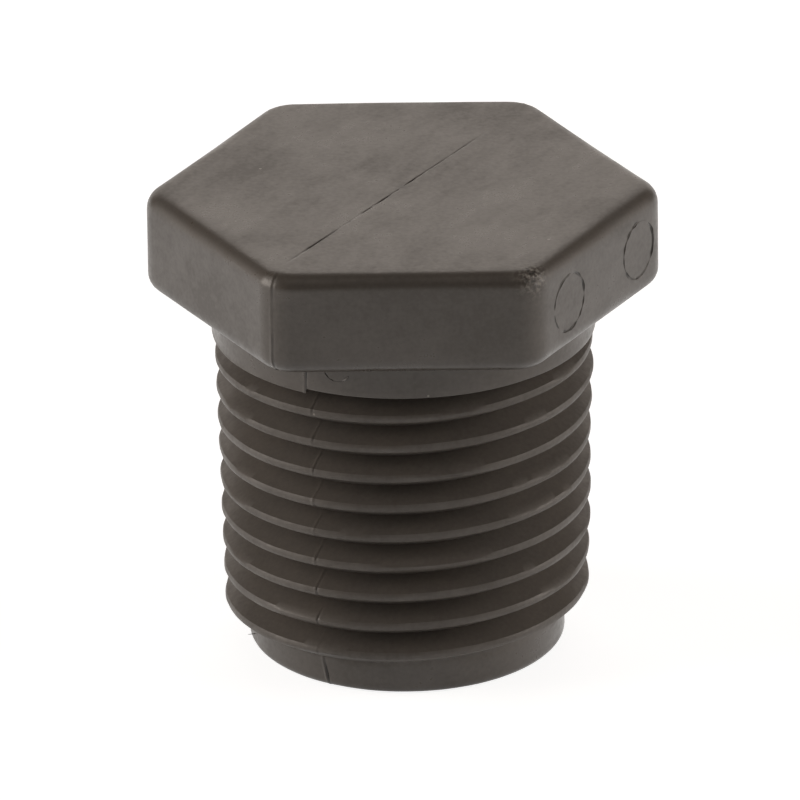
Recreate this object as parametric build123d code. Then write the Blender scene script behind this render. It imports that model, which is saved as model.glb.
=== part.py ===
from build123d import *
import math
import os

# A moulded plug that closes a tapped pipe end: hexagon head, collar, taper thread and pilot, all one piece,
# cored out from below so that its wall stays even. Millimetres, +Z up.
# The plug stands on its pilot, and the origin is the middle of the pilot's end.
# Two corners of the hexagon lie on the X axis.

# Hexagon head
ACROSS_FLATS = 25.1
HEAD_HEIGHT = 5.95
CORNER_RADIUS = 2.3
TOP_EDGE_RADIUS = 0.75
LOWER_EDGE_RADIUS = 1.0

# Shank below the head
SHANK_LENGTH = 20.9
COLLAR_LENGTH = 2.2
COLLAR_PROUD = 0.1  # how far the collar stands out past the thread crests
COLLAR_LIP_CHAMFER = 0.1
PILOT_EDGE_CHAMFER = 0.3

# Right-hand outside taper thread of sixty-degree form
THREADS_PER_INCH = 14
TAPER_ON_DIAMETER = 1 / 16
FLANK_ANGLE = 30  # each flank, from a plane square to the axis
CREST_DIAMETER = 20.1  # over the crests, at the height of the thread's tip
CREST_FLAT = 0.15
ROOT_FLAT = 0.1
TIP_HEIGHT = 1.65  # where the ridge begins to rise out of the pilot
TIP_ANGLE = 20  # round from the X axis, where the ridge begins
LEAD_IN_TURNS = 0.25  # the ridge rises to its full height over this part of a turn

# Cored underside
WALL = 2.7  # between the core and the pilot, at the mouth
ROOF = 5.85
CORE_DRAFT = 1.0
CORE_END_CHAMFER = 1.5
CORE_MOUTH_CHAMFER = 0.4

PITCH = 25.4 / THREADS_PER_INCH
FLANK_SLOPE = math.tan(math.radians(FLANK_ANGLE))
THREAD_DEPTH = (PITCH - CREST_FLAT - ROOT_FLAT) / 2 / FLANK_SLOPE
SINK = ROOT_FLAT / 2  # how deep the ridge is sunk in the shank, less than where its turns would meet
LIP_Z = SHANK_LENGTH - COLLAR_LENGTH


def crest_radius(z):
    return CREST_DIAMETER / 2 + (z - TIP_HEIGHT) * TAPER_ON_DIAMETER / 2


def root_radius(z):
    return crest_radius(z) - THREAD_DEPTH


PILOT_RADIUS = root_radius(TIP_HEIGHT)
COLLAR_RADIUS = crest_radius(LIP_Z) + COLLAR_PROUD


def corner_at(shape, x, z):
    """The vertex of an upright profile that lies nearest to the point x, z."""
    return shape.vertices().sort_by_distance((x, 0, z))[0]


def make_head():
    plate = extrude(RegularPolygon(ACROSS_FLATS / 2, 6, major_radius=False), HEAD_HEIGHT)
    plate = fillet(plate.edges().filter_by(Axis.Z), CORNER_RADIUS)
    plate = fillet(plate.faces().sort_by(Axis.Z)[-1].edges(), TOP_EDGE_RADIUS)
    plate = fillet(plate.faces().sort_by(Axis.Z)[0].edges(), LOWER_EDGE_RADIUS)
    return Pos(0, 0, SHANK_LENGTH) * plate


def make_shank():
    """Pilot, root cone of the thread and collar, turned as one. The collar runs up into the head."""
    inside_head = SHANK_LENGTH + HEAD_HEIGHT / 2
    profile = make_face(
        Plane.XZ
        * Polyline(
            (0, 0),
            (PILOT_RADIUS, 0),
            (PILOT_RADIUS, TIP_HEIGHT),
            (root_radius(LIP_Z), LIP_Z),
            (COLLAR_RADIUS, LIP_Z),
            (COLLAR_RADIUS, inside_head),
            (0, inside_head),
            close=True,
        )
    )
    profile = chamfer(corner_at(profile, PILOT_RADIUS, 0), PILOT_EDGE_CHAMFER)
    profile = chamfer(corner_at(profile, COLLAR_RADIUS, LIP_Z), COLLAR_LIP_CHAMFER)
    return revolve(profile, Axis.Z)


def helix(start, end, turns):
    """A right-hand helix from angle zero, between two points given as radius and height."""
    rise = end[1] - start[1]
    cone = math.degrees(math.atan2(end[0] - start[0], rise))
    pitch_on_slant = rise / turns / math.cos(math.radians(cone))
    return Edge.make_helix(pitch_on_slant, rise, start[0], (0, 0, start[1]), angle=cone)


def ridge_section(z, buried):
    """The ridge's four corners at height z, as radius and height, with its crest lowered by buried."""
    top = crest_radius(z)
    foot = top - THREAD_DEPTH - SINK
    half_crest = CREST_FLAT / 2
    half_foot = half_crest + (THREAD_DEPTH + SINK) * FLANK_SLOPE
    return (
        (foot, z - half_foot),
        (top - buried, z - half_crest),
        (top - buried, z + half_crest),
        (foot, z + half_foot),
    )


def make_ridge():
    """The thread itself: ruled faces between helices, about one turn at a time, closed at both ends.
    It rises out of the pilot over the lead-in and ends where the whole of it is inside the collar."""
    full_z = TIP_HEIGHT + LEAD_IN_TURNS * PITCH
    end_z = LIP_Z + PITCH / 2 + SINK
    pieces = math.ceil((end_z - full_z) / PITCH)
    stations = [(TIP_HEIGHT, THREAD_DEPTH + SINK / 2)]
    stations += [(full_z + (end_z - full_z) * i / pieces, 0) for i in range(pieces + 1)]
    faces = []
    ends = []
    for (low_z, low_buried), (high_z, high_buried) in zip(stations, stations[1:]):
        turns = (high_z - low_z) / PITCH
        start_angle = 360 * (low_z - TIP_HEIGHT) / PITCH
        corners = zip(ridge_section(low_z, low_buried), ridge_section(high_z, high_buried))
        rails = [Rot(0, 0, start_angle) * helix(low, high, turns) for low, high in corners]
        faces += [Face.make_surface_from_curves(a, b) for a, b in zip(rails, rails[1:] + rails[:1])]
        ends += [[rail @ 0 for rail in rails], [rail @ 1 for rail in rails]]
    faces += [Face(Wire.make_polygon(corners)) for corners in (ends[0], ends[-1])]
    return Rot(0, 0, TIP_ANGLE) * Solid(Shell(faces))


def make_core():
    """The hollow that the mould's core leaves, open at the pilot's end and narrower towards the head."""
    depth = SHANK_LENGTH + HEAD_HEIGHT - ROOF
    mouth = PILOT_RADIUS - WALL
    end = mouth - depth * math.tan(math.radians(CORE_DRAFT))
    profile = make_face(Plane.XZ * Polyline((0, 0), (mouth, 0), (end, depth), (0, depth), close=True))
    profile = chamfer(corner_at(profile, end, depth), CORE_END_CHAMFER)
    return revolve(profile, Axis.Z)


def make_plug():
    plug = make_head() + make_shank() + make_ridge() - make_core()
    mouth = plug.faces().sort_by(Axis.Z)[0].edges().sort_by(SortBy.LENGTH)[0]
    return chamfer(mouth, CORE_MOUTH_CHAMFER)


os.makedirs("parts", exist_ok=True)
export_step(make_plug(), "parts/pipe_plug.step")
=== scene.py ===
import bpy
import bmesh
import math
import numpy as np
from mathutils import Matrix, Vector, noise


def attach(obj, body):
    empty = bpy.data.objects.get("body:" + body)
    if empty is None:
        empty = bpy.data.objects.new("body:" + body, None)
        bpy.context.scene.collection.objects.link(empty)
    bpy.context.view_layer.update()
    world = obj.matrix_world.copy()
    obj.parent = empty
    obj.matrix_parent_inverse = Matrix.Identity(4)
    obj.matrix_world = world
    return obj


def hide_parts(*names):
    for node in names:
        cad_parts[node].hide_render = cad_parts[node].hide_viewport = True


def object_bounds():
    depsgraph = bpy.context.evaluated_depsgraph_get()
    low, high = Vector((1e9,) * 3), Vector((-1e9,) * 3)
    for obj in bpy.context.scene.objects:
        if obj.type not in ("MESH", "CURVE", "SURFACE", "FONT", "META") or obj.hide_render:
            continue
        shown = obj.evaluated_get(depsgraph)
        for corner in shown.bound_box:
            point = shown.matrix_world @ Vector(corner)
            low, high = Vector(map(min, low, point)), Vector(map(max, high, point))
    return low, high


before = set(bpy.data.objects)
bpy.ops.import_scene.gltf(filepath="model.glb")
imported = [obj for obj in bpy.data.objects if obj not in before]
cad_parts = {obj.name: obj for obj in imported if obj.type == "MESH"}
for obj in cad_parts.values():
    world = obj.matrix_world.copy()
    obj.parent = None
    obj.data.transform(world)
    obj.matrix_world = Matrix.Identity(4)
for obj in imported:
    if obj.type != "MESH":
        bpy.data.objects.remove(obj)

# A pipe plug moulded in one shot: hexagon head, collar, taper thread and pilot, cored out from below.
# Lengths are metres, and MM turns the millimetre sizes below into them.
# Angles go round the plug's axis from +X. The camera looks at the plug from -Y.
# The plug stands on its pilot at height 0, with its head on top.

MM = 0.001
NODE = "pipe_plug"
CAD_LOW, CAD_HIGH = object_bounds()
TOP = CAD_HIGH.z

# Hexagon head
ACROSS_FLATS = CAD_HIGH.y - CAD_LOW.y
HEAD_HEIGHT = 5.95 * MM
UNDERSIDE = TOP - HEAD_HEIGHT
CORNER_RADIUS = 2.3 * MM
TOP_EDGE_RADIUS = 0.85 * MM  # on the front and back flats
SIDE_EDGE_RADIUS = 1.1 * MM  # on the four others
LOWER_EDGE_RADIUS = 1.0 * MM
SIXTH = math.radians(60)  # a sixth of a turn
FLAT_SHARE = math.cos(SIXTH / 2)  # a flat's distance from the axis, as a share of a sharp corner's

# Collar
COLLAR_RADIUS = 10.67 * MM
COLLAR_LENGTH = 2.2 * MM
COLLAR_STEP = 0.25 * MM  # how much longer the collar is in one half of the mould
COLLAR_LIP_RADIUS = 0.12 * MM
COLLAR_TOP_FILLET = 0.2 * MM
LIP = UNDERSIDE - COLLAR_LENGTH

# Right-hand taper thread of sixty-degree form, with its crests and roots cut back from a sharp V
PITCH = 25.4 / 14 * MM
TAPER = 1 / 40  # on the radius
CREST_RADIUS = 10.15 * MM  # at the tip's height
CREST_CUT = 0.3 * MM
THREAD_DEPTH = 1.361 * MM
CREST_ROUNDING = 0.16 * MM
ROOT_ROUNDING = 0.06 * MM
CREST_SHORT_FILL = 0.08 * MM  # how far the crests fall short here and there, where the mould didn't fill
SHORT_FILL_PATCHES = 9.0  # a turn
SHORT_FILL_RANGE = (0.35, 0.65)  # of the noise, from a full crest to a short one
TIP_HEIGHT = 1.65 * MM
TIP_ANGLE = math.radians(20)
LEAD_IN_TURNS = 0.25

# Pilot and the cored hollow
PILOT_RADIUS = CREST_RADIUS - THREAD_DEPTH
PILOT_EDGE_RADIUS = 0.4 * MM
PILOT_TOP = 0.9 * MM
CORE_RADIUS = 6.0 * MM
CORE_DEPTH = 21.0 * MM
CORE_DRAFT = math.radians(1)
CORE_END_RADIUS = 1.5 * MM
CORE_MOUTH_CHAMFER = 0.4 * MM

# The mould's two halves part in an upright plane, close by two corners of the hexagon
PARTING_ANGLE = math.radians(59.4)
TOP_PARTING_ANGLE = math.radians(58.2)  # of the hairline on the head's top
THREAD_PARTING_ANGLE = math.radians(60.7)

# Flash and a hairline where the halves met. Both come and go in patches.
FLASH_HEIGHT = 0.07 * MM
FLASH_WIDTH = 0.07 * MM
FLASH_MEAN = 0.35
FLASH_SWING = 0.8
FLASH_ON_THREAD = 0.5  # as a share
FLASH_SHIFT = 0.1 * MM  # from the parting plane, towards the half with the longer collar
FLASH_PATCH = 0.7 * MM
FLASH_PATTERN = Vector((7, 0, 0))  # keeps its patches apart from the hairline's
CRACK_DEPTH = 0.07 * MM
CRACK_WIDTH = 0.05 * MM
CRACK_MEAN = 0.45
CRACK_SWING = 1.1
CRACK_ON_SIDES = 0.6  # of the head, as a share
CRACK_ON_CRESTS = -0.15  # added to how far it is open
CRACK_SHIFT = -0.03 * MM
CRACK_PATCH = 0.7 * MM
CRACK_LEAN = 0.214  # on the front of the pilot, where it slants
CRACK_LEVEL = 0.73 * MM  # where the slanting crack crosses the parting plane
TOP_CRACK = (-12.0 * MM, 9.5 * MM)  # where it shows on the head's top, along the parting plane
TOP_CRACK_FADES = (1.0 * MM, 5.0 * MM)  # lengths at its front and back over which it fades
NICK_DEPTH = 0.6 * MM  # how far down the thread's flanks it reaches

# The slight waves of a moulded surface
WAVE_DEPTH = 0.012 * MM
WAVE_SIZE = 2.5 * MM

# Ring marks of two ejector pins in one flat of the head: how far beside the flat's middle, and how far
# above the underside, each one is
PIN_MARK_FACE = math.radians(330)
PIN_MARKS = ((-3.54 * MM, 2.95 * MM), (4.26 * MM, 3.08 * MM))
PIN_MARK_RADIUS = 1.65 * MM
PIN_MARK_WIDTH = 0.26 * MM
PIN_MARK_STANDOFF = 0.02 * MM  # how far out of the flat the ring that cuts them has its middle
# Painted shade in the pin marks' grooves and in the hairline between the mould's halves: how far below the
# flat it starts, is full and ends, and how dark it is in each
PIN_SHADE_START = 0.03 * MM  # below the flat
PIN_SHADE_FULL = 0.09 * MM
PIN_SHADE_END = 0.5 * MM
PIN_SHADE = 0.7
CRACK_SHADE = 0.9

# A thin curved line that stands out from the collar
CURL_RADIUS = 0.78 * MM
CURL_WIDTH = 0.1 * MM
CURL_SINK = 0.015 * MM
CURL_SPAN = (math.radians(205), math.radians(330))
CURL_ANGLE = math.radians(249.5)
CURL_HEIGHT = 20.3 * MM

# A sliver of flash at the side of the pilot
BURR_ANGLE = math.radians(194)
BURR_HEIGHT = 0.74 * MM
BURR_LENGTH = 0.36 * MM
BURR_ROOT = 0.15 * MM  # the part of it inside the pilot
BURR_THICKNESS = 0.07 * MM
BURR_TIP = 1 / 3  # of its thickness
BURR_SIDES = 8

# A knock on one corner of the head's upper edge
SCUFF_CORNER = math.radians(301)
SCUFF_INSET = 0.6 * MM  # from the flats
SCUFF_DROP = 0.35 * MM  # below the top
SCUFF_RADIUS = 0.75 * MM
SCUFF_DEPTH = 0.07 * MM
SCUFF_LUMP = 0.16 * MM
SCUFF_SINK = 0.4  # how far it is sunk on average, as a share of its depth
SCUFF_GRAIN = 0.22 * MM

# Pattern of the plastic
CLOUD_SIZE = 5.0 * MM
STREAK_WIDTH = 0.8 * MM
STREAK_LENGTH = 2.6 * MM
GRAIN_SIZE = 0.25 * MM
GRAIN_DEPTH = 0.009 * MM
SPECK_SPACING = 1.5 * MM
SPECK_RADIUS = 0.09 * MM
SPECKLESS = 0.8  # the share of places for a speck that have none
SPECK_STRENGTH = 0.5
CLOUD_SHARE = 0.45
STREAK_SHARE = 0.25
GRAIN_SHARE = 0.3
TONE_RANGE = (0.38, 0.62)  # of the three together, from the dark colour to the light one

# Colours and sheen of the plastic
DARK_COLOUR = "514c47"
LIGHT_COLOUR = "5e5852"
SPECK_COLOUR = "b5b0a8"
SCUFFED_COLOUR = "98938c"
PITTED_COLOUR = "24211f"
# Painted shade in the pin marks' grooves and the hairline
PAINTED_SHADE_COLOUR = "1c1a18"
DARK_ROUGHNESS = 0.46
LIGHT_ROUGHNESS = 0.26
SCUFF_ROUGHNESS = 0.4  # added where it is scuffed
THREAD_ROUGHNESS = 0.16  # added on the thread
REFRACTION = 1.49
PALE_RANGE = (0.5, 0.62)  # of the scuff's grain, over which it turns pale
PITTED_RANGE = (0.46, 0.36)  # and over which it turns dark
STREAK_RELIEF = 0.5  # as a share of the grain's
RELIEF_STRENGTH = 0.5

# Paper under the plug
PAPER_COLOUR = "d0d0d0"  # by which it lights the plug
SHOWN_COLOUR = "c6c6c6"  # as the camera sees it, with a glow added
FLOOR_GLOW = 0.83
FLOOR_WIDTH = 6

# Camera, from the photograph: a long lens nearly a metre away
CAMERA_DISTANCE = 976.6 * MM
CAMERA_LENS = 793.75
CAMERA_SENSOR = 36
CAMERA_DOWN = math.radians(23.63)
CAMERA_ROUND = math.radians(0.02)
CAMERA_ROLL = math.radians(-0.7)
CAMERA_AIM = Vector((-0.259 * MM, 0, 13.937 * MM))

# Studio: softboxes low on the left, on the right and behind, others higher up over them, and a faint one
# high over the camera's side. Each has its name, the degrees round the plug and up at which it stands, its
# width and height in metres, and its brightness.
SOFTBOXES = (
    ("left_softbox", 183, 15, 1.0, 0.7, 4.4),
    ("right_softbox", 356, 15, 1.0, 0.7, 4.1),
    ("back_softbox", 90, 13, 1.7, 0.6, 1.03),
    ("left_high_softbox", 180, 38, 0.9, 0.5, 1.2),
    ("right_high_softbox", 0, 38, 0.9, 0.5, 0.6),
    ("back_high_softbox", 90, 36, 1.2, 0.5, 1.4),
    ("front_top_softbox", 270, 65, 0.9, 0.9, 0.35),
)
LAMP_DISTANCE = 1.4
LAMP_COLOUR = (1.09, 1.0, 0.92)
WORLD_STRENGTH = 0.02

# Mesh
COLUMNS = 384
COLUMN_CROWDING = 0.35  # columns stand closer together near the parting plane
ROWS_PER_TURN = 12
FIRST_TURN = -2  # below the tip, so that the rows reach down past the pilot's top
TURNS = 12  # enough to climb past the collar's lip
ROW_CROWDING = 0.6  # rows stand closer together at crests and roots
WELD = 0.001 * MM
SKIN = 0.1 * MM  # what lies less than this below the head's top is on it
SCUFF_MESH = 0.12 * MM  # edges longer than this are cut where it is at least so scuffed
SCUFF_LEAST = 0.12
SCUFF_CUTS = 2
SHARP_ANGLE = math.radians(32)

# How many rings of the mesh each part of the profile has, from the collar's lip up to the middle of the top
LIP_RINGS = 3
COLLAR_RINGS = 7
TOP_FILLET_RINGS = 3
UNDERSIDE_RINGS = 5
LOWER_EDGE_RINGS = 7
SIDE_RINGS = 10
TOP_EDGE_RINGS = 8
TOP_RINGS = 26

# And from the thread down round the pilot's edge and up to the core's end
PILOT_RINGS = 4
PILOT_EDGE_RINGS = 5
PILOT_END_RINGS = 3
CORE_RINGS = 10
CORE_EDGE_RINGS = 6
CORE_END_RINGS = 5

# Thin rings, such as the ejector pins' marks
FULL_TURN = (0, 2 * math.pi)
RING_STEPS = 72
RING_SIDES = 10
RING_MEAN = 0.65  # a thin ring's thickness, as a share of its full one
RING_SWING = 1.1
RING_LEAST = 0.2
RING_PATCHES = 3
RING_PATCH = 3.0 * MM


def srgb(code):
    """A hex colour as linear red, green, blue and alpha."""
    parts = [int(code[i : i + 2], 16) / 255 for i in (0, 2, 4)]
    return [p / 12.92 if p <= 0.04045 else ((p + 0.055) / 1.055) ** 2.4 for p in parts] + [1]


def add_node(tree, kind, *values, sockets=None, **settings):
    """Adds a node with its settings. Values go to its inputs in order, and sockets to inputs by name:
    each is a number or colour, a node whose first output is linked, or another node's output."""
    node = tree.nodes.new(kind)
    for name, value in settings.items():
        setattr(node, name, value)
    for key, value in [*enumerate(values), *(sockets or {}).items()]:
        if isinstance(value, bpy.types.Node):
            value = value.outputs[0]
        if isinstance(value, bpy.types.NodeSocket):
            tree.links.new(value, node.inputs[key])
        elif value is not None:
            node.inputs[key].default_value = value
    return node


def link(obj):
    bpy.context.scene.collection.objects.link(obj)
    return obj


def aim(obj, place, target, roll=0.0):
    """Stands a lamp or camera at a place, looking at a target, rolled about its line of sight."""
    way = (target - place).to_track_quat("-Z", "Y").to_matrix()
    obj.matrix_world = Matrix.Translation(place) @ (way @ Matrix.Rotation(roll, 3, "Z")).to_4x4()
    return obj


def make_camera():
    data = bpy.data.cameras.new("camera")
    data.lens = CAMERA_LENS
    data.sensor_width = CAMERA_SENSOR
    data.clip_start = 0.01
    data.clip_end = 100
    ahead = Vector((math.sin(CAMERA_ROUND), math.cos(CAMERA_ROUND), 0)) * math.cos(CAMERA_DOWN)
    ahead.z = -math.sin(CAMERA_DOWN)
    place = Vector((0, 0, UNDERSIDE)) - CAMERA_DISTANCE * ahead
    camera = link(bpy.data.objects.new("camera", data))
    aim(camera, place, CAMERA_AIM, CAMERA_ROLL)
    bpy.context.scene.camera = camera


def thread_tree():
    """Geometry Nodes for the thread's whole surface, from the pilot up to the collar's lip.
    A grid is wrapped round the axis. Its rows climb along the helix and are cut off level at both ends."""
    tree = bpy.data.node_groups.new("taper_thread", "GeometryNodeTree")
    numbers = (
        ("Pitch", PITCH),
        ("Crest radius", CREST_RADIUS),
        ("Taper", TAPER),
        ("Depth", THREAD_DEPTH),
        ("Crest cut", CREST_CUT),
        ("Crest rounding", CREST_ROUNDING),
        ("Root rounding", ROOT_ROUNDING),
        ("Short fill", CREST_SHORT_FILL),
        ("Tip height", TIP_HEIGHT),
        ("Tip angle", TIP_ANGLE),
        ("Lead-in", LEAD_IN_TURNS),
        ("Low", PILOT_TOP),
        ("High", LIP),
        ("Lip step", COLLAR_STEP),
        ("Parting angle", PARTING_ANGLE),
        ("Column crowding", COLUMN_CROWDING),
        ("Row crowding", ROW_CROWDING),
        ("Weld", WELD),
    )
    counts = (
        ("Columns", COLUMNS),
        ("Rows per turn", ROWS_PER_TURN),
        ("First turn", FIRST_TURN),
        ("Turns", TURNS),
    )
    values = {}
    for kind, items in (("NodeSocketFloat", numbers), ("NodeSocketInt", counts)):
        for name, value in items:
            values[tree.interface.new_socket(name, in_out="INPUT", socket_type=kind).identifier] = value
    material = tree.interface.new_socket("Material", in_out="INPUT", socket_type="NodeSocketMaterial")
    tree.interface.new_socket("Geometry", in_out="OUTPUT", socket_type="NodeSocketGeometry")
    given = add_node(tree, "NodeGroupInput").outputs
    calc = "ShaderNodeMath"

    # A flat grid, one unit across, with a column for each step round the axis
    columns = add_node(tree, calc, given["Columns"], 1, operation="ADD")
    rows = add_node(tree, calc, given["Turns"], given["Rows per turn"], 1, operation="MULTIPLY_ADD")
    grid = add_node(tree, "GeometryNodeMeshGrid", 1, 1, columns, rows)
    spot = add_node(tree, "ShaderNodeSeparateXYZ", add_node(tree, "GeometryNodeInputPosition")).outputs
    across = add_node(tree, calc, spot["X"], 0.5, operation="ADD")
    up = add_node(tree, calc, spot["Y"], 0.5, operation="ADD")

    # The angle of each column, crowded at both ends of the parting plane
    even = add_node(tree, calc, across, 2 * math.pi, given["Tip angle"], operation="MULTIPLY_ADD")
    wave = add_node(tree, calc, even, given["Parting angle"], operation="SUBTRACT")
    wave = add_node(tree, calc, wave, 2, operation="MULTIPLY")
    wave = add_node(tree, calc, wave, operation="SINE")
    shift = add_node(tree, calc, wave, given["Column crowding"], operation="MULTIPLY")
    angle = add_node(tree, calc, even, shift, operation="SUBTRACT")
    turned = add_node(tree, calc, angle, given["Tip angle"], operation="SUBTRACT")
    turned = add_node(tree, calc, turned, 2 * math.pi, operation="DIVIDE")

    # The turn each row is on, crowded at crests and roots
    row = add_node(tree, calc, up, given["Turns"], given["First turn"], operation="MULTIPLY_ADD")
    wave = add_node(tree, calc, row, 4 * math.pi, operation="MULTIPLY")
    wave = add_node(tree, calc, wave, operation="SINE")
    shift = add_node(tree, calc, wave, given["Row crowding"], operation="MULTIPLY")
    shift = add_node(tree, calc, shift, 4 * math.pi, operation="DIVIDE")
    row = add_node(tree, calc, row, shift, operation="SUBTRACT")

    # Heights along the helix, cut off at the pilot and at the collar's stepped lip
    side = add_node(tree, calc, angle, given["Parting angle"], operation="SUBTRACT")
    side = add_node(tree, calc, side, operation="SINE")
    long_half = add_node(tree, calc, side, 0, operation="GREATER_THAN")
    drop = add_node(tree, calc, long_half, given["Lip step"], operation="MULTIPLY")
    lip = add_node(tree, calc, given["High"], drop, operation="SUBTRACT")
    climb = add_node(tree, calc, row, turned, operation="ADD")
    height = add_node(tree, calc, climb, given["Pitch"], given["Tip height"], operation="MULTIPLY_ADD")
    height = add_node(tree, calc, height, given["Low"], operation="MAXIMUM")
    height = add_node(tree, calc, height, lip, operation="MINIMUM")

    # How far each point is from the nearest crest, and how far the ridge has risen there
    above_tip = add_node(tree, calc, height, given["Tip height"], operation="SUBTRACT")
    turn = add_node(tree, calc, above_tip, given["Pitch"], operation="DIVIDE")
    turn = add_node(tree, calc, turn, turned, operation="SUBTRACT")
    nearest = add_node(tree, calc, turn, operation="ROUND")
    off = add_node(tree, calc, turn, nearest, operation="SUBTRACT")
    off = add_node(tree, calc, off, operation="ABSOLUTE")
    off = add_node(tree, calc, off, given["Pitch"], operation="MULTIPLY")
    along = add_node(tree, calc, nearest, turned, operation="ADD")
    rise = add_node(tree, calc, along, given["Lead-in"], operation="DIVIDE", use_clamp=True)

    # The ridge's profile on the taper, with its crest lower where the mould didn't fill
    fill = {"W": along, "Scale": SHORT_FILL_PATCHES, "Detail": 3.0}
    fill = add_node(tree, "ShaderNodeTexNoise", sockets=fill, noise_dimensions="1D")
    fill = add_node(tree, "ShaderNodeMapRange", fill, *SHORT_FILL_RANGE, 0.0, 1.0)
    short = add_node(tree, calc, fill, given["Short fill"], operation="MULTIPLY")
    cap = add_node(tree, calc, given["Depth"], short, operation="SUBTRACT")
    cap = add_node(tree, calc, cap, rise, operation="MULTIPLY")
    sharp = add_node(tree, calc, given["Depth"], given["Crest cut"], operation="ADD")
    slope = add_node(tree, calc, off, -math.sqrt(3), sharp, operation="MULTIPLY_ADD")
    ridge = add_node(tree, calc, slope, cap, given["Crest rounding"], operation="SMOOTH_MIN")
    ridge = add_node(tree, calc, ridge, 0.0, given["Root rounding"], operation="SMOOTH_MAX")
    root = add_node(tree, calc, given["Crest radius"], given["Depth"], operation="SUBTRACT")
    cone = add_node(tree, calc, above_tip, 0.0, operation="MAXIMUM")
    root = add_node(tree, calc, cone, given["Taper"], root, operation="MULTIPLY_ADD")
    radius = add_node(tree, calc, root, ridge, operation="ADD")

    # Wrapped round the axis, with the points that fall on one another made one
    x = add_node(tree, calc, add_node(tree, calc, angle, operation="COSINE"), radius, operation="MULTIPLY")
    y = add_node(tree, calc, add_node(tree, calc, angle, operation="SINE"), radius, operation="MULTIPLY")
    place = add_node(tree, "ShaderNodeCombineXYZ", x, y, height)
    wrapped = add_node(tree, "GeometryNodeSetPosition", grid, sockets={"Position": place})
    welded = add_node(tree, "GeometryNodeMergeByDistance", wrapped, sockets={"Distance": given["Weld"]})
    real = add_node(tree, "GeometryNodeRealizeInstances", welded)
    painted = add_node(tree, "GeometryNodeSetMaterial", real, sockets={"Material": given["Material"]})
    add_node(tree, "NodeGroupOutput", painted)
    return tree, values, material.identifier


def make_thread(plastic):
    """The thread's surface as a plain mesh, open at both ends."""
    tree, values, material = thread_tree()
    maker = link(bpy.data.objects.new("thread_maker", bpy.data.meshes.new("thread_maker")))
    nodes = maker.modifiers.new("thread", "NODES")
    nodes.node_group = tree
    for identifier, value in values.items():
        nodes[identifier] = value
    nodes[material] = plastic
    ready = maker.evaluated_get(bpy.context.evaluated_depsgraph_get())
    mesh = bpy.data.meshes.new_from_object(ready)
    bpy.data.objects.remove(maker)
    return mesh


def hexagon(angles, inset):
    """The radius of the head's outline at each angle, with its rounded corners, drawn in by an inset."""
    flat = ACROSS_FLATS / 2 - inset
    corner = CORNER_RADIUS - inset
    middle = (ACROSS_FLATS / 2 - CORNER_RADIUS) / FLAT_SHARE
    from_corner = (angles + SIXTH / 2) % SIXTH - SIXTH / 2
    end = np.arctan2(corner / 2, middle + corner * FLAT_SHARE)
    on_flat = flat / np.cos(SIXTH / 2 - np.abs(from_corner))
    reach = np.maximum(corner**2 - (middle * np.sin(from_corner)) ** 2, 0)
    on_corner = middle * np.cos(from_corner) + np.sqrt(reach)
    return np.where(np.abs(from_corner) < end, on_corner, on_flat)


def top_edge(angles):
    """The radius of the head's upper edge at each angle, from the front and back flats to the side ones."""
    beside = np.minimum(1, (np.cos(angles) / math.cos(SIXTH / 2)) ** 2)
    return TOP_EDGE_RADIUS + (SIDE_EDGE_RADIUS - TOP_EDGE_RADIUS) * beside


def quarter(steps):
    """Angles over a quarter circle, both ends among them."""
    return np.linspace(0, math.pi / 2, steps + 1)


def shares(steps, start=0, end=1):
    """Even steps from a start to an end, with the end among them and the start not."""
    return np.linspace(start, end, steps + 1)[1:]


def upper_rings(angles, lip):
    """Radius and height of each ring of the mesh from the collar's lip to the middle of the head's top."""
    rings = []
    inner = COLLAR_RADIUS - COLLAR_LIP_RADIUS
    for turn in quarter(LIP_RINGS):
        rise = COLLAR_LIP_RADIUS * (1 - np.cos(turn))
        rings.append((inner + COLLAR_LIP_RADIUS * np.sin(turn), lip + rise))
    below = lip + COLLAR_LIP_RADIUS
    above = UNDERSIDE - COLLAR_TOP_FILLET
    for share in shares(COLLAR_RINGS):
        rings.append((COLLAR_RADIUS, below + (above - below) * share))
    for turn in quarter(TOP_FILLET_RINGS)[1:]:
        step = COLLAR_TOP_FILLET * (1 - np.cos(turn))
        rings.append((COLLAR_RADIUS + step, above + COLLAR_TOP_FILLET * np.sin(turn)))
    inner = COLLAR_RADIUS + COLLAR_TOP_FILLET
    outer = hexagon(angles, LOWER_EDGE_RADIUS)
    for share in shares(UNDERSIDE_RINGS):
        rings.append((inner + (outer - inner) * share, UNDERSIDE))
    for turn in quarter(LOWER_EDGE_RINGS)[1:]:
        inset = LOWER_EDGE_RADIUS * (1 - np.sin(turn))
        rings.append((hexagon(angles, inset), UNDERSIDE + LOWER_EDGE_RADIUS * (1 - np.cos(turn))))
    low = UNDERSIDE + LOWER_EDGE_RADIUS
    edge = top_edge(angles)
    high = TOP - edge
    for share in shares(SIDE_RINGS):
        rings.append((hexagon(angles, 0), low + (high - low) * share))
    for turn in quarter(TOP_EDGE_RINGS)[1:]:
        rings.append((hexagon(angles, edge * (1 - np.cos(turn))), high + edge * np.sin(turn)))
    rim = hexagon(angles, edge)
    for share in shares(TOP_RINGS, 1, 0)[:-1]:
        rings.append((rim * share, TOP))
    return rings


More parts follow.
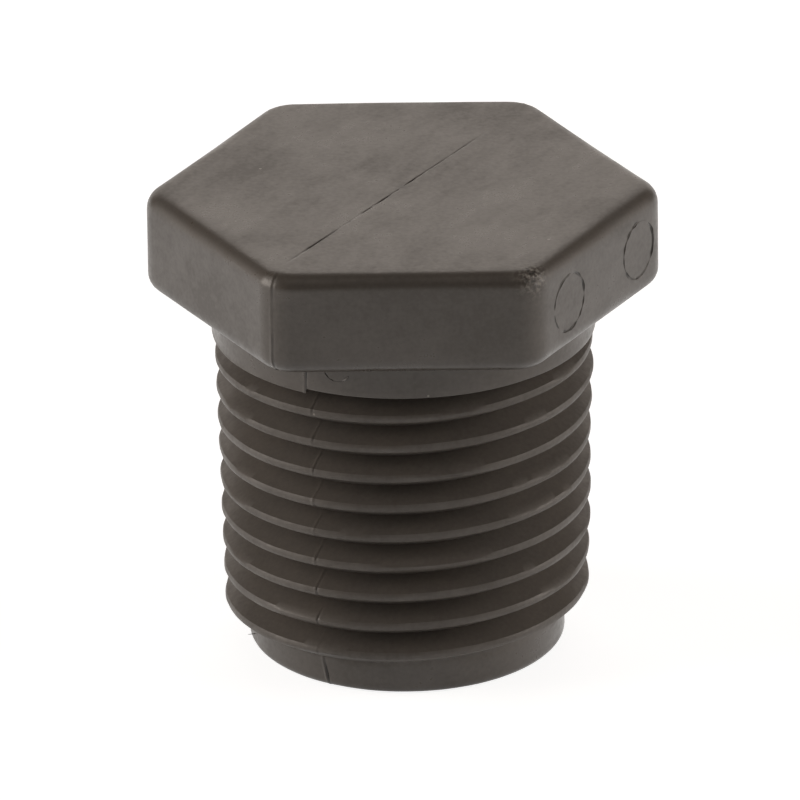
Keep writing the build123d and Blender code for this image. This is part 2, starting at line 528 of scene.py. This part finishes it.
def lower_rings():
    """Radius and height of each ring from below the thread, round the pilot's edge, to the core's end."""
    rings = []
    for share in shares(PILOT_RINGS, 1, 0):
        rings.append((PILOT_RADIUS, PILOT_EDGE_RADIUS + (PILOT_TOP - PILOT_EDGE_RADIUS) * share))
    for turn in quarter(PILOT_EDGE_RINGS)[1:]:
        inset = PILOT_EDGE_RADIUS * (1 - np.cos(turn))
        rings.append((PILOT_RADIUS - inset, PILOT_EDGE_RADIUS * (1 - np.sin(turn))))
    outer = PILOT_RADIUS - PILOT_EDGE_RADIUS
    inner = CORE_RADIUS + CORE_MOUTH_CHAMFER
    for share in shares(PILOT_END_RINGS):
        rings.append((outer + (inner - outer) * share, 0.0))
    slope = math.tan(CORE_DRAFT)
    bend = CORE_DEPTH - CORE_END_RADIUS
    for height in np.linspace(CORE_MOUTH_CHAMFER, bend, CORE_RINGS + 1):
        rings.append((CORE_RADIUS - height * slope, height))
    end = CORE_RADIUS - bend * slope - CORE_END_RADIUS
    for turn in quarter(CORE_EDGE_RINGS)[1:]:
        rings.append((end + CORE_END_RADIUS * np.cos(turn), bend + CORE_END_RADIUS * np.sin(turn)))
    for share in shares(CORE_END_RINGS, 1, 0)[:-1]:
        rings.append((end * share, CORE_DEPTH))
    return rings


def ordered_rim(mesh, top):
    """The open rim of the thread's mesh, at its top or bottom, as vertices in order of angle."""
    edges = [e for e in mesh.edges if e.is_boundary]
    rim = {v for e in edges for v in e.verts}
    middle = (PILOT_TOP + LIP) / 2
    chosen = [v for v in rim if (v.co.z > middle) == top]
    return sorted(chosen, key=lambda v: math.atan2(v.co.y, v.co.x))


def add_rings(mesh, rim, rings, pole_height):
    """Carries the mesh on from its rim through each ring to a pole that closes it."""
    angles = np.array([math.atan2(v.co.y, v.co.x) for v in rim])
    last = rim
    for radius, height in rings(angles):
        heights = np.broadcast_to(height, angles.shape)
        spots = zip(radius * np.cos(angles), radius * np.sin(angles), heights)
        fresh = [mesh.verts.new(spot) for spot in spots]
        for i in range(len(fresh)):
            mesh.faces.new((last[i - 1], last[i], fresh[i], fresh[i - 1]))
        last = fresh
    pole = mesh.verts.new((0, 0, pole_height))
    for i in range(len(last)):
        mesh.faces.new((last[i - 1], last[i], pole))


def bell(distance, width):
    return math.exp(-((distance / width) ** 2))


def direction(angle):
    """The level direction at an angle round the axis."""
    return Vector((math.cos(angle), math.sin(angle), 0))


def from_parting(spot):
    """Distance from where the mould's halves met, towards the half with the longer collar."""
    angle = PARTING_ANGLE
    if spot.z > TOP - SKIN:
        angle = TOP_PARTING_ANGLE
    elif TIP_HEIGHT < spot.z < LIP - COLLAR_STEP:
        angle = THREAD_PARTING_ANGLE
    away = spot.y * math.cos(angle) - spot.x * math.sin(angle)
    if spot.y < 0 and spot.z < TIP_HEIGHT:
        away += CRACK_LEAN * (CRACK_LEVEL - spot.z)
    return away


def crack(spot):
    """How far the hairline between the mould's halves is open here, from 0 to 1."""
    open_here = CRACK_MEAN + CRACK_SWING * noise.noise(spot / CRACK_PATCH)
    if spot.z > TOP - SKIN:
        along = spot.dot(direction(TOP_PARTING_ANGLE))
        start, end = TOP_CRACK
        fade_in, fade_out = TOP_CRACK_FADES
        open_here *= min(1, max(0, (along - start) / fade_in), max(0, (end - along) / fade_out))
    elif spot.z > UNDERSIDE:
        open_here *= CRACK_ON_SIDES
    elif TIP_HEIGHT < spot.z < LIP:
        depth = CREST_RADIUS + TAPER * (spot.z - TIP_HEIGHT) - spot.xy.length
        open_here = (open_here + CRACK_ON_CRESTS) * max(0, 1 - depth / NICK_DEPTH)
    return max(0, min(1, open_here)) * bell(from_parting(spot) - CRACK_SHIFT, CRACK_WIDTH)


def scuff(spot):
    """How scuffed the surface is here, from 0 to 1."""
    corner = (ACROSS_FLATS / 2 - SCUFF_INSET) / FLAT_SHARE * direction(SCUFF_CORNER)
    corner.z = TOP - SCUFF_DROP
    return bell((spot - corner).length, SCUFF_RADIUS)


def pin_groove(spot):
    """How deep in the grooves of the ejector pins' marks this lies, from 0 to 1."""
    out = direction(PIN_MARK_FACE)
    sunk = ACROSS_FLATS / 2 - spot.dot(out)
    if not PIN_SHADE_START < sunk < PIN_SHADE_END:
        return 0
    along = Vector((0, 0, 1)).cross(out)
    for shift, height in PIN_MARKS:
        reach = math.hypot(spot.dot(along) - shift, spot.z - UNDERSIDE - height)
        if abs(reach - PIN_MARK_RADIUS) < PIN_MARK_WIDTH:
            return min(1, sunk / PIN_SHADE_FULL)
    return 0


def painted_groove_shade(spot):
    """How much painted shade darkens the surface here, in the pin marks' grooves and the hairline, from 0
    to 1.
    """
    return max(PIN_SHADE * pin_groove(spot), CRACK_SHADE * crack(spot))


def on_thread(spot):
    """1 on the thread, and 0 elsewhere."""
    return float(spot.xy.length > CORE_RADIUS and TIP_HEIGHT < spot.z < LIP)


def paint(data, name, amount):
    """Stores an amount for each vertex, for the material to read."""
    layer = data.attributes.new(name, "FLOAT", "POINT")
    layer.data.foreach_set("value", [amount(vert.co) for vert in data.vertices])


def worn(spot):
    """How far the surface here stands out from the shape as drawn."""
    ridge = FLASH_MEAN + FLASH_SWING * noise.noise(spot / FLASH_PATCH + FLASH_PATTERN)
    flash = FLASH_HEIGHT * max(0, ridge) * bell(from_parting(spot) - FLASH_SHIFT, FLASH_WIDTH)
    if spot.z > TOP - SKIN:
        flash = 0
    elif TIP_HEIGHT < spot.z < LIP:
        flash *= FLASH_ON_THREAD
    rough = SCUFF_DEPTH * scuff(spot) * (noise.noise(spot / SCUFF_LUMP) - SCUFF_SINK)
    wave = WAVE_DEPTH * (noise.noise(spot / WAVE_SIZE) - 1)
    return flash - CRACK_DEPTH * crack(spot) + rough + wave


def wear(mesh):
    """Moves the outside's vertices along their normals: flash and a hairline where the halves met,
    the knocked corner, and the slight waves. Nothing ends up outside the CAD box."""
    mesh.normal_update()
    mouth = CORE_RADIUS + CORE_MOUTH_CHAMFER
    outside = [v for v in mesh.verts if v.co.xy.length > mouth or v.co.z > TOP - SKIN]
    moved = [vert.co + vert.normal * worn(vert.co) for vert in outside]
    for vert, spot in zip(outside, moved):
        vert.co = [max(low, min(high, value)) for value, low, high in zip(spot, CAD_LOW, CAD_HIGH)]


def add_ring(mesh, middle, out, radius, width, span=FULL_TURN):
    """A thin uneven ring, or an arc of one with closed ends, round a middle on a surface that faces out."""
    up = Vector((0, 0, 1))
    along = up.cross(out)
    start, end = span
    whole = span == FULL_TURN
    rows = []
    for turn in np.linspace(start, end, RING_STEPS + 1)[: RING_STEPS if whole else None]:
        ray = along * math.cos(turn) + up * math.sin(turn)
        uneven = RING_MEAN + RING_SWING * noise.noise(ray * RING_PATCHES + middle / RING_PATCH)
        bite = width / 2 * max(RING_LEAST, uneven)
        leans = [2 * math.pi * k / RING_SIDES for k in range(RING_SIDES)]
        rows.append([])
        for lean in leans:
            spot = middle + ray * (radius + bite * math.cos(lean)) + out * bite * math.sin(lean)
            rows[-1].append(mesh.verts.new(spot))
    if not whole:
        mesh.faces.new(rows[0])
        mesh.faces.new(rows[-1])
    for i in range(0 if whole else 1, len(rows)):
        for k in range(RING_SIDES):
            mesh.faces.new((rows[i - 1][k - 1], rows[i][k - 1], rows[i][k], rows[i - 1][k]))


def finished(mesh, name):
    """An object of the mesh, with its faces outwards."""
    bmesh.ops.recalc_face_normals(mesh, faces=mesh.faces)
    data = bpy.data.meshes.new(name)
    mesh.to_mesh(data)
    mesh.free()
    return link(bpy.data.objects.new(name, data))


def make_pin_marks():
    """What cuts the two ejector pins' marks into one flat of the head."""
    mesh = bmesh.new()
    out = direction(PIN_MARK_FACE)
    along = Vector((0, 0, 1)).cross(out)
    for shift, height in PIN_MARKS:
        middle = out * (ACROSS_FLATS / 2 + PIN_MARK_STANDOFF) + along * shift
        middle.z = UNDERSIDE + height
        add_ring(mesh, middle, out, PIN_MARK_RADIUS, PIN_MARK_WIDTH)
    return finished(mesh, "pin_marks")


def make_slivers():
    """What stands out: a sliver of flash at the side of the pilot, and a thin curved line on the collar."""
    mesh = bmesh.new()
    out = direction(BURR_ANGLE)
    middle = out * (PILOT_RADIUS + (BURR_LENGTH - BURR_ROOT) / 2)
    middle.z = BURR_HEIGHT
    place = Matrix.Translation(middle) @ out.to_track_quat("Z", "Y").to_matrix().to_4x4()
    width = BURR_THICKNESS / 2
    size = {"radius1": width, "radius2": width * BURR_TIP, "depth": BURR_LENGTH + BURR_ROOT}
    bmesh.ops.create_cone(mesh, cap_ends=True, segments=BURR_SIDES, matrix=place, **size)
    out = direction(CURL_ANGLE)
    middle = out * (COLLAR_RADIUS - CURL_SINK)
    middle.z = CURL_HEIGHT
    add_ring(mesh, middle, out, CURL_RADIUS, CURL_WIDTH, CURL_SPAN)
    return finished(mesh, "slivers")


def combine(body, tool, operation):
    """The body's mesh after a boolean with the tool, which is used up."""
    change = body.modifiers.new("change", "BOOLEAN")
    change.operation = operation
    change.solver = "MANIFOLD"
    change.object = tool
    ready = body.evaluated_get(bpy.context.evaluated_depsgraph_get())
    data = bpy.data.meshes.new_from_object(ready)
    body.modifiers.remove(change)
    body.data = data
    bpy.data.objects.remove(tool)


def make_plug(plastic):
    """The whole plug as one closed mesh, with its wear and marks."""
    mesh = bmesh.new()
    mesh.from_mesh(make_thread(plastic))
    bmesh.ops.remove_doubles(mesh, verts=mesh.verts, dist=WELD)
    bmesh.ops.dissolve_degenerate(mesh, edges=mesh.edges, dist=WELD / 2)

    def above(angles):
        return upper_rings(angles, LIP - COLLAR_STEP * (np.sin(angles - PARTING_ANGLE) > 0))

    top = ordered_rim(mesh, True)
    bottom = ordered_rim(mesh, False)
    add_rings(mesh, top, above, TOP)
    add_rings(mesh, bottom, lambda angles: lower_rings(), CORE_DEPTH)
    bmesh.ops.recalc_face_normals(mesh, faces=mesh.faces)
    # A finer mesh at the scuff
    long = [e for e in mesh.edges if e.calc_length() > SCUFF_MESH]
    near = [e for e in long if scuff((e.verts[0].co + e.verts[1].co) / 2) > SCUFF_LEAST]
    bmesh.ops.subdivide_edges(mesh, edges=near, cuts=SCUFF_CUTS, use_grid_fill=True)
    bmesh.ops.triangulate(mesh, faces=[f for f in mesh.faces if len(f.verts) > 4])
    wear(mesh)
    plug = finished(mesh, "moulded_plug")
    combine(plug, make_pin_marks(), "DIFFERENCE")
    combine(plug, make_slivers(), "UNION")
    data = plug.data
    data.materials.clear()
    data.materials.append(plastic)
    data.polygons.foreach_set("use_smooth", [True] * len(data.polygons))
    data.set_sharp_from_angle(angle=SHARP_ANGLE)
    # Stored for the material: painted shade in the grooves and the hairline, the scuff, and the thread
    paint(data, "painted_groove_shade", painted_groove_shade)
    paint(data, "scuff", scuff)
    paint(data, "thread", on_thread)
    return plug


def moulded_polypropylene():
    """Glass-filled polypropylene, injection moulded. It gives a dark warm grey with a satin sheen, duller
    on the thread. It is cloudy where the melt cooled unevenly and streaked along the mould's parting,
    with a fine grain and a few pale specks."""
    material = bpy.data.materials.new("moulded_glass_filled_polypropylene")
    material.use_nodes = True
    tree = material.node_tree
    shader = tree.nodes["Principled BSDF"]
    shader.inputs["IOR"].default_value = REFRACTION
    place = add_node(tree, "ShaderNodeTexCoord").outputs["Object"]
    turn = {"Angle": -PARTING_ANGLE}
    turned = add_node(tree, "ShaderNodeVectorRotate", place, sockets=turn, rotation_type="Z_AXIS")
    stretch = [STREAK_WIDTH / STREAK_LENGTH, 1, 1]
    drawn = add_node(tree, "ShaderNodeVectorMath", turned, stretch, operation="MULTIPLY")

    def pattern(spot, size, detail):
        return add_node(tree, "ShaderNodeTexNoise", spot, sockets={"Scale": 1 / size, "Detail": detail})

    clouds = pattern(place, CLOUD_SIZE, 3.0)
    streaks = pattern(drawn, STREAK_WIDTH, 4.0)
    grain = pattern(place, GRAIN_SIZE, 2.0)
    tone = add_node(tree, "ShaderNodeMath", clouds, CLOUD_SHARE, operation="MULTIPLY")
    tone = add_node(tree, "ShaderNodeMath", streaks, STREAK_SHARE, tone, operation="MULTIPLY_ADD")
    tone = add_node(tree, "ShaderNodeMath", grain, GRAIN_SHARE, tone, operation="MULTIPLY_ADD")
    tone = add_node(tree, "ShaderNodeMapRange", tone, *TONE_RANGE)

    cells = add_node(tree, "ShaderNodeTexVoronoi", place, sockets={"Scale": 1 / SPECK_SPACING}).outputs
    chosen = add_node(tree, "ShaderNodeMath", cells["Color"], SPECKLESS, operation="GREATER_THAN")
    reach = SPECK_RADIUS / SPECK_SPACING
    near = add_node(tree, "ShaderNodeMath", cells["Distance"], reach, operation="LESS_THAN")
    speck = add_node(tree, "ShaderNodeMath", chosen, near, operation="MULTIPLY")
    speck = add_node(tree, "ShaderNodeMath", speck, SPECK_STRENGTH, operation="MULTIPLY")
    rubbed = add_node(tree, "ShaderNodeAttribute", attribute_name="scuff").outputs["Fac"]
    flakes = pattern(place, SCUFF_GRAIN, 2.0)
    pale = add_node(tree, "ShaderNodeMapRange", flakes, *PALE_RANGE)
    dark = add_node(tree, "ShaderNodeMapRange", flakes, *PITTED_RANGE)
    scuffed = add_node(tree, "ShaderNodeMath", rubbed, pale, operation="MULTIPLY")
    pitted = add_node(tree, "ShaderNodeMath", rubbed, dark, operation="MULTIPLY")
    # Painted shade in the pin marks' grooves and the hairline
    groove_shade = add_node(tree, "ShaderNodeAttribute", attribute_name="painted_groove_shade").outputs["Fac"]
    matt = add_node(tree, "ShaderNodeAttribute", attribute_name="thread").outputs["Fac"]

    colour = srgb(DARK_COLOUR)
    layers = (
        (tone, LIGHT_COLOUR),
        (speck, SPECK_COLOUR),
        (scuffed, SCUFFED_COLOUR),
        (pitted, PITTED_COLOUR),
        # painted shade in the grooves and the hairline
        (groove_shade, PAINTED_SHADE_COLOUR),
    )
    for share, other in layers:
        colour = add_node(tree, "ShaderNodeMixRGB", share, colour, srgb(other))
    tree.links.new(colour.outputs[0], shader.inputs["Base Color"])

    rough = add_node(tree, "ShaderNodeMapRange", tone, 0.0, 1.0, DARK_ROUGHNESS, LIGHT_ROUGHNESS)
    rough = add_node(tree, "ShaderNodeMath", scuffed, SCUFF_ROUGHNESS, rough, operation="MULTIPLY_ADD")
    rough = add_node(tree, "ShaderNodeMath", matt, THREAD_ROUGHNESS, rough, operation="MULTIPLY_ADD")
    tree.links.new(rough.outputs[0], shader.inputs["Roughness"])
    relief = add_node(tree, "ShaderNodeMath", streaks, STREAK_RELIEF, grain, operation="MULTIPLY_ADD")
    bump = {"Strength": RELIEF_STRENGTH, "Distance": GRAIN_DEPTH, "Height": relief}
    bump = add_node(tree, "ShaderNodeBump", sockets=bump)
    tree.links.new(bump.outputs[0], shader.inputs["Normal"])
    return material


def make_world():
    """The dim, even light of a studio."""
    world = bpy.data.worlds.new("studio")
    bpy.context.scene.world = world
    world.use_nodes = True
    tree = world.node_tree
    tree.nodes.clear()
    light = add_node(tree, "ShaderNodeBackground", srgb("ffffff"), WORLD_STRENGTH)
    add_node(tree, "ShaderNodeOutputWorld", light)


def make_floor():
    """White paper that runs out past the frame. To the camera it is white, with the plug's faint shadow."""
    material = bpy.data.materials.new("white_paper_sweep")
    material.use_nodes = True
    tree = material.node_tree
    tree.nodes.clear()
    path = add_node(tree, "ShaderNodeLightPath").outputs
    seen = path["Is Camera Ray"]
    for other in ("Is Glossy Ray", "Is Transmission Ray"):
        seen = add_node(tree, "ShaderNodeMath", seen, path[other], operation="MAXIMUM")
    glow = add_node(tree, "ShaderNodeEmission", srgb("ffffff"), FLOOR_GLOW)
    lit = add_node(tree, "ShaderNodeBsdfDiffuse", srgb(SHOWN_COLOUR))
    shown = add_node(tree, "ShaderNodeAddShader", glow, lit)
    paper = add_node(tree, "ShaderNodeBsdfDiffuse", srgb(PAPER_COLOUR))
    mixed = add_node(tree, "ShaderNodeMixShader", seen, paper, shown)
    add_node(tree, "ShaderNodeOutputMaterial", mixed)
    far = FLOOR_WIDTH / 2
    corners = [(-far, -far, 0), (far, -far, 0), (far, far, 0), (-far, far, 0)]
    data = bpy.data.meshes.new("floor")
    data.from_pydata(corners, [], [range(4)])
    data.materials.append(material)
    link(bpy.data.objects.new("floor", data))


def make_lamp(name, azimuth, elevation, width, height, brightness):
    """A softbox turned towards the plug, with its colour a little warm."""
    data = bpy.data.lights.new(name, "AREA")
    data.shape = "RECTANGLE"
    data.size = width
    data.size_y = height
    data.energy = math.pi * width * height * brightness
    data.color = LAMP_COLOUR
    lamp = link(bpy.data.objects.new(name, data))
    lamp.visible_camera = False
    around, up = math.radians(azimuth), math.radians(elevation)
    way = Vector((math.cos(around) * math.cos(up), math.sin(around) * math.cos(up), math.sin(up)))
    aim(lamp, LAMP_DISTANCE * way, Vector((0, 0, 0)))


bpy.context.scene.view_settings.view_transform = "Standard"
make_camera()
make_world()
make_floor()
for softbox in SOFTBOXES:
    make_lamp(*softbox)
plug = make_plug(moulded_polypropylene())
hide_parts(NODE)
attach(plug, "root")
